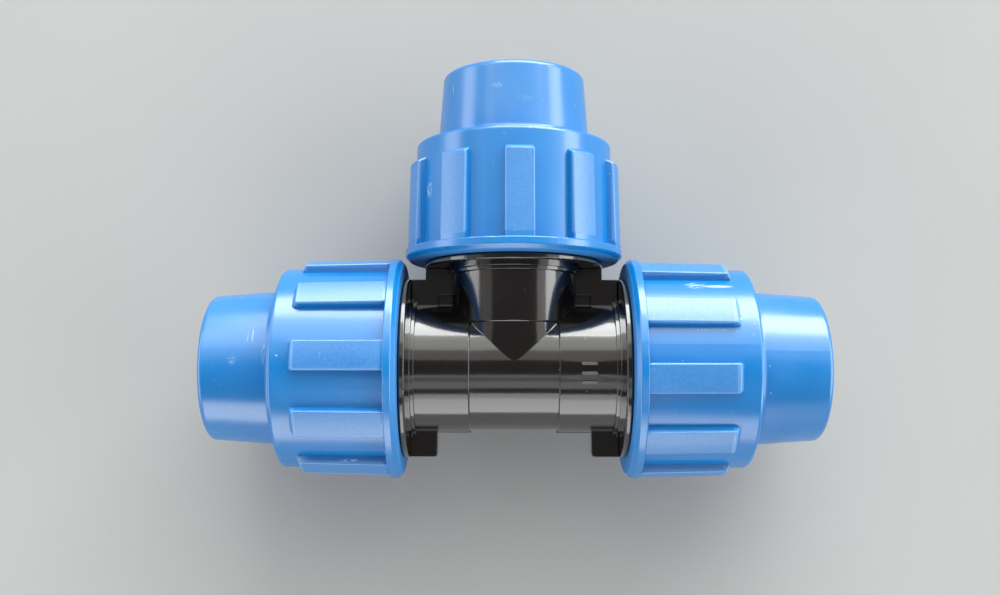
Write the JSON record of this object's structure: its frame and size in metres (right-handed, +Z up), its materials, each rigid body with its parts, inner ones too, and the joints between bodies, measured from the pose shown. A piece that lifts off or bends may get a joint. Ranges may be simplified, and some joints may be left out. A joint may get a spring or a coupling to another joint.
{
  "type": "pipe compression tee",
  "caption": "Compression tee for plastic water pipe: glossy black body with ribbed blue screw nuts over split gripping rings, thrust bushes and O-rings.",
  "frame": {"origin": "where the axes of the three ports cross, at the middle of the body", "axes": "+X along the run to the right port, +Y along the branch port, +Z up, square to the plane of the ports"},
  "size_m": [0.1185, 0.08, 0.043],
  "materials": {
    "body_plastic": "glossy black moulded polypropylene",
    "nut_plastic": "satin to glossy blue moulded polypropylene",
    "ring_plastic": "natural white acetal",
    "bush_plastic": "white moulded polypropylene",
    "seal_rubber": "smooth black nitrile rubber"
  },
  "bodies": {
    "tee_body": {"tee_body": "body_plastic", "left_thrust_bush": "bush_plastic", "right_thrust_bush": "bush_plastic", "branch_thrust_bush": "bush_plastic", "left_o_ring": "seal_rubber", "right_o_ring": "seal_rubber", "branch_o_ring": "seal_rubber"},
    "left_split_ring": {"left_split_ring": "ring_plastic"},
    "left_nut": {"left_nut": "nut_plastic"},
    "right_split_ring": {"right_split_ring": "ring_plastic"},
    "right_nut": {"right_nut": "nut_plastic"},
    "branch_split_ring": {"branch_split_ring": "ring_plastic"},
    "branch_nut": {"branch_nut": "nut_plastic"}
  },
  "joints": [
    {"name": "left_ring_slide", "type": "slide", "parent": "tee_body", "child": "left_split_ring", "axis": [-1, 0, 0], "range_m": [0, 0.016]},
    {"name": "left_nut_turn", "type": "hinge", "parent": "left_split_ring", "child": "left_nut", "pos_m": [-0.033, 0, 0], "axis": [-1, 0, 0], "range_deg": [0, 1440]},
    {"name": "right_ring_slide", "type": "slide", "parent": "tee_body", "child": "right_split_ring", "axis": [1, 0, 0], "range_m": [0, 0.016]},
    {"name": "right_nut_turn", "type": "hinge", "parent": "right_split_ring", "child": "right_nut", "pos_m": [0.033, 0, 0], "axis": [1, 0, 0], "range_deg": [0, 1440]},
    {"name": "branch_ring_slide", "type": "slide", "parent": "tee_body", "child": "branch_split_ring", "axis": [0, 1, 0], "range_m": [0, 0.016]},
    {"name": "branch_nut_turn", "type": "hinge", "parent": "branch_split_ring", "child": "branch_nut", "pos_m": [0, 0.033, 0], "axis": [0, 1, 0], "range_deg": [0, 1440]}
  ],
  "couplings": [
    {"joint": "left_ring_slide", "follows": "left_nut_turn", "m_per_rad": 0.00063662},
    {"joint": "right_ring_slide", "follows": "right_nut_turn", "m_per_rad": 0.00063662},
    {"joint": "branch_ring_slide", "follows": "branch_nut_turn", "m_per_rad": 0.00063662}
  ]
}
